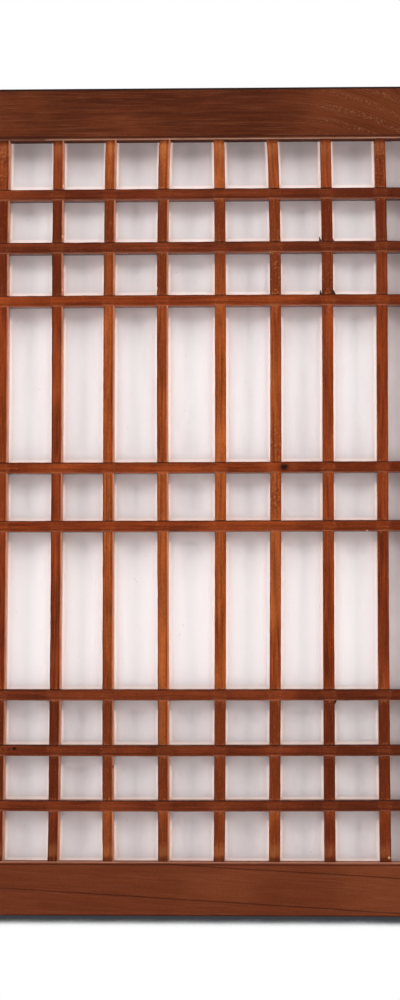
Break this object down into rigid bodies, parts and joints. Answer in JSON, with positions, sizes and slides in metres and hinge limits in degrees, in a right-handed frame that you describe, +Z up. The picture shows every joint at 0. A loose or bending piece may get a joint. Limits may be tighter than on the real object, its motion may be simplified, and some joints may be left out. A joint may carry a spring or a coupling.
{
  "type": "lattice window",
  "caption": "Timber lattice window: pegged frame with half lapped upright and cross bars in banded groups, and a sheet of white paper pasted to the back.",
  "frame": {"origin": "middle of the bottom edge, half way through the frame's thickness", "axes": "+Z up, +X to the right as seen from the lattice side, the lattice side faces -Y and the paper side +Y"},
  "size_m": [0.579, 0.03, 0.817],
  "materials": {
    "frame_wood": "brown varnish, satin, worn at the arrises",
    "lattice_wood": "reddish brown varnish, satin, hand planed",
    "peg_wood": "varnished end grain",
    "paper": "matt, slightly translucent, long fibres"
  },
  "bodies": {
    "root": {"left_stile": "frame_wood", "right_stile": "frame_wood", "top_rail": "frame_wood", "bottom_rail": "frame_wood", "upright_bar_1": "lattice_wood", "upright_bar_2": "lattice_wood", "upright_bar_3": "lattice_wood", "upright_bar_4": "lattice_wood", "upright_bar_5": "lattice_wood", "upright_bar_6": "lattice_wood", "upright_bar_7": "lattice_wood", "upright_bar_8": "lattice_wood", "cross_bar_1": "lattice_wood", "cross_bar_2": "lattice_wood", "cross_bar_3": "lattice_wood", "cross_bar_4": "lattice_wood", "cross_bar_5": "lattice_wood", "cross_bar_6": "lattice_wood", "cross_bar_7": "lattice_wood", "cross_bar_8": "lattice_wood", "corner_pegs": "peg_wood", "paper_sheet": "paper"}
  },
  "joints": []
}
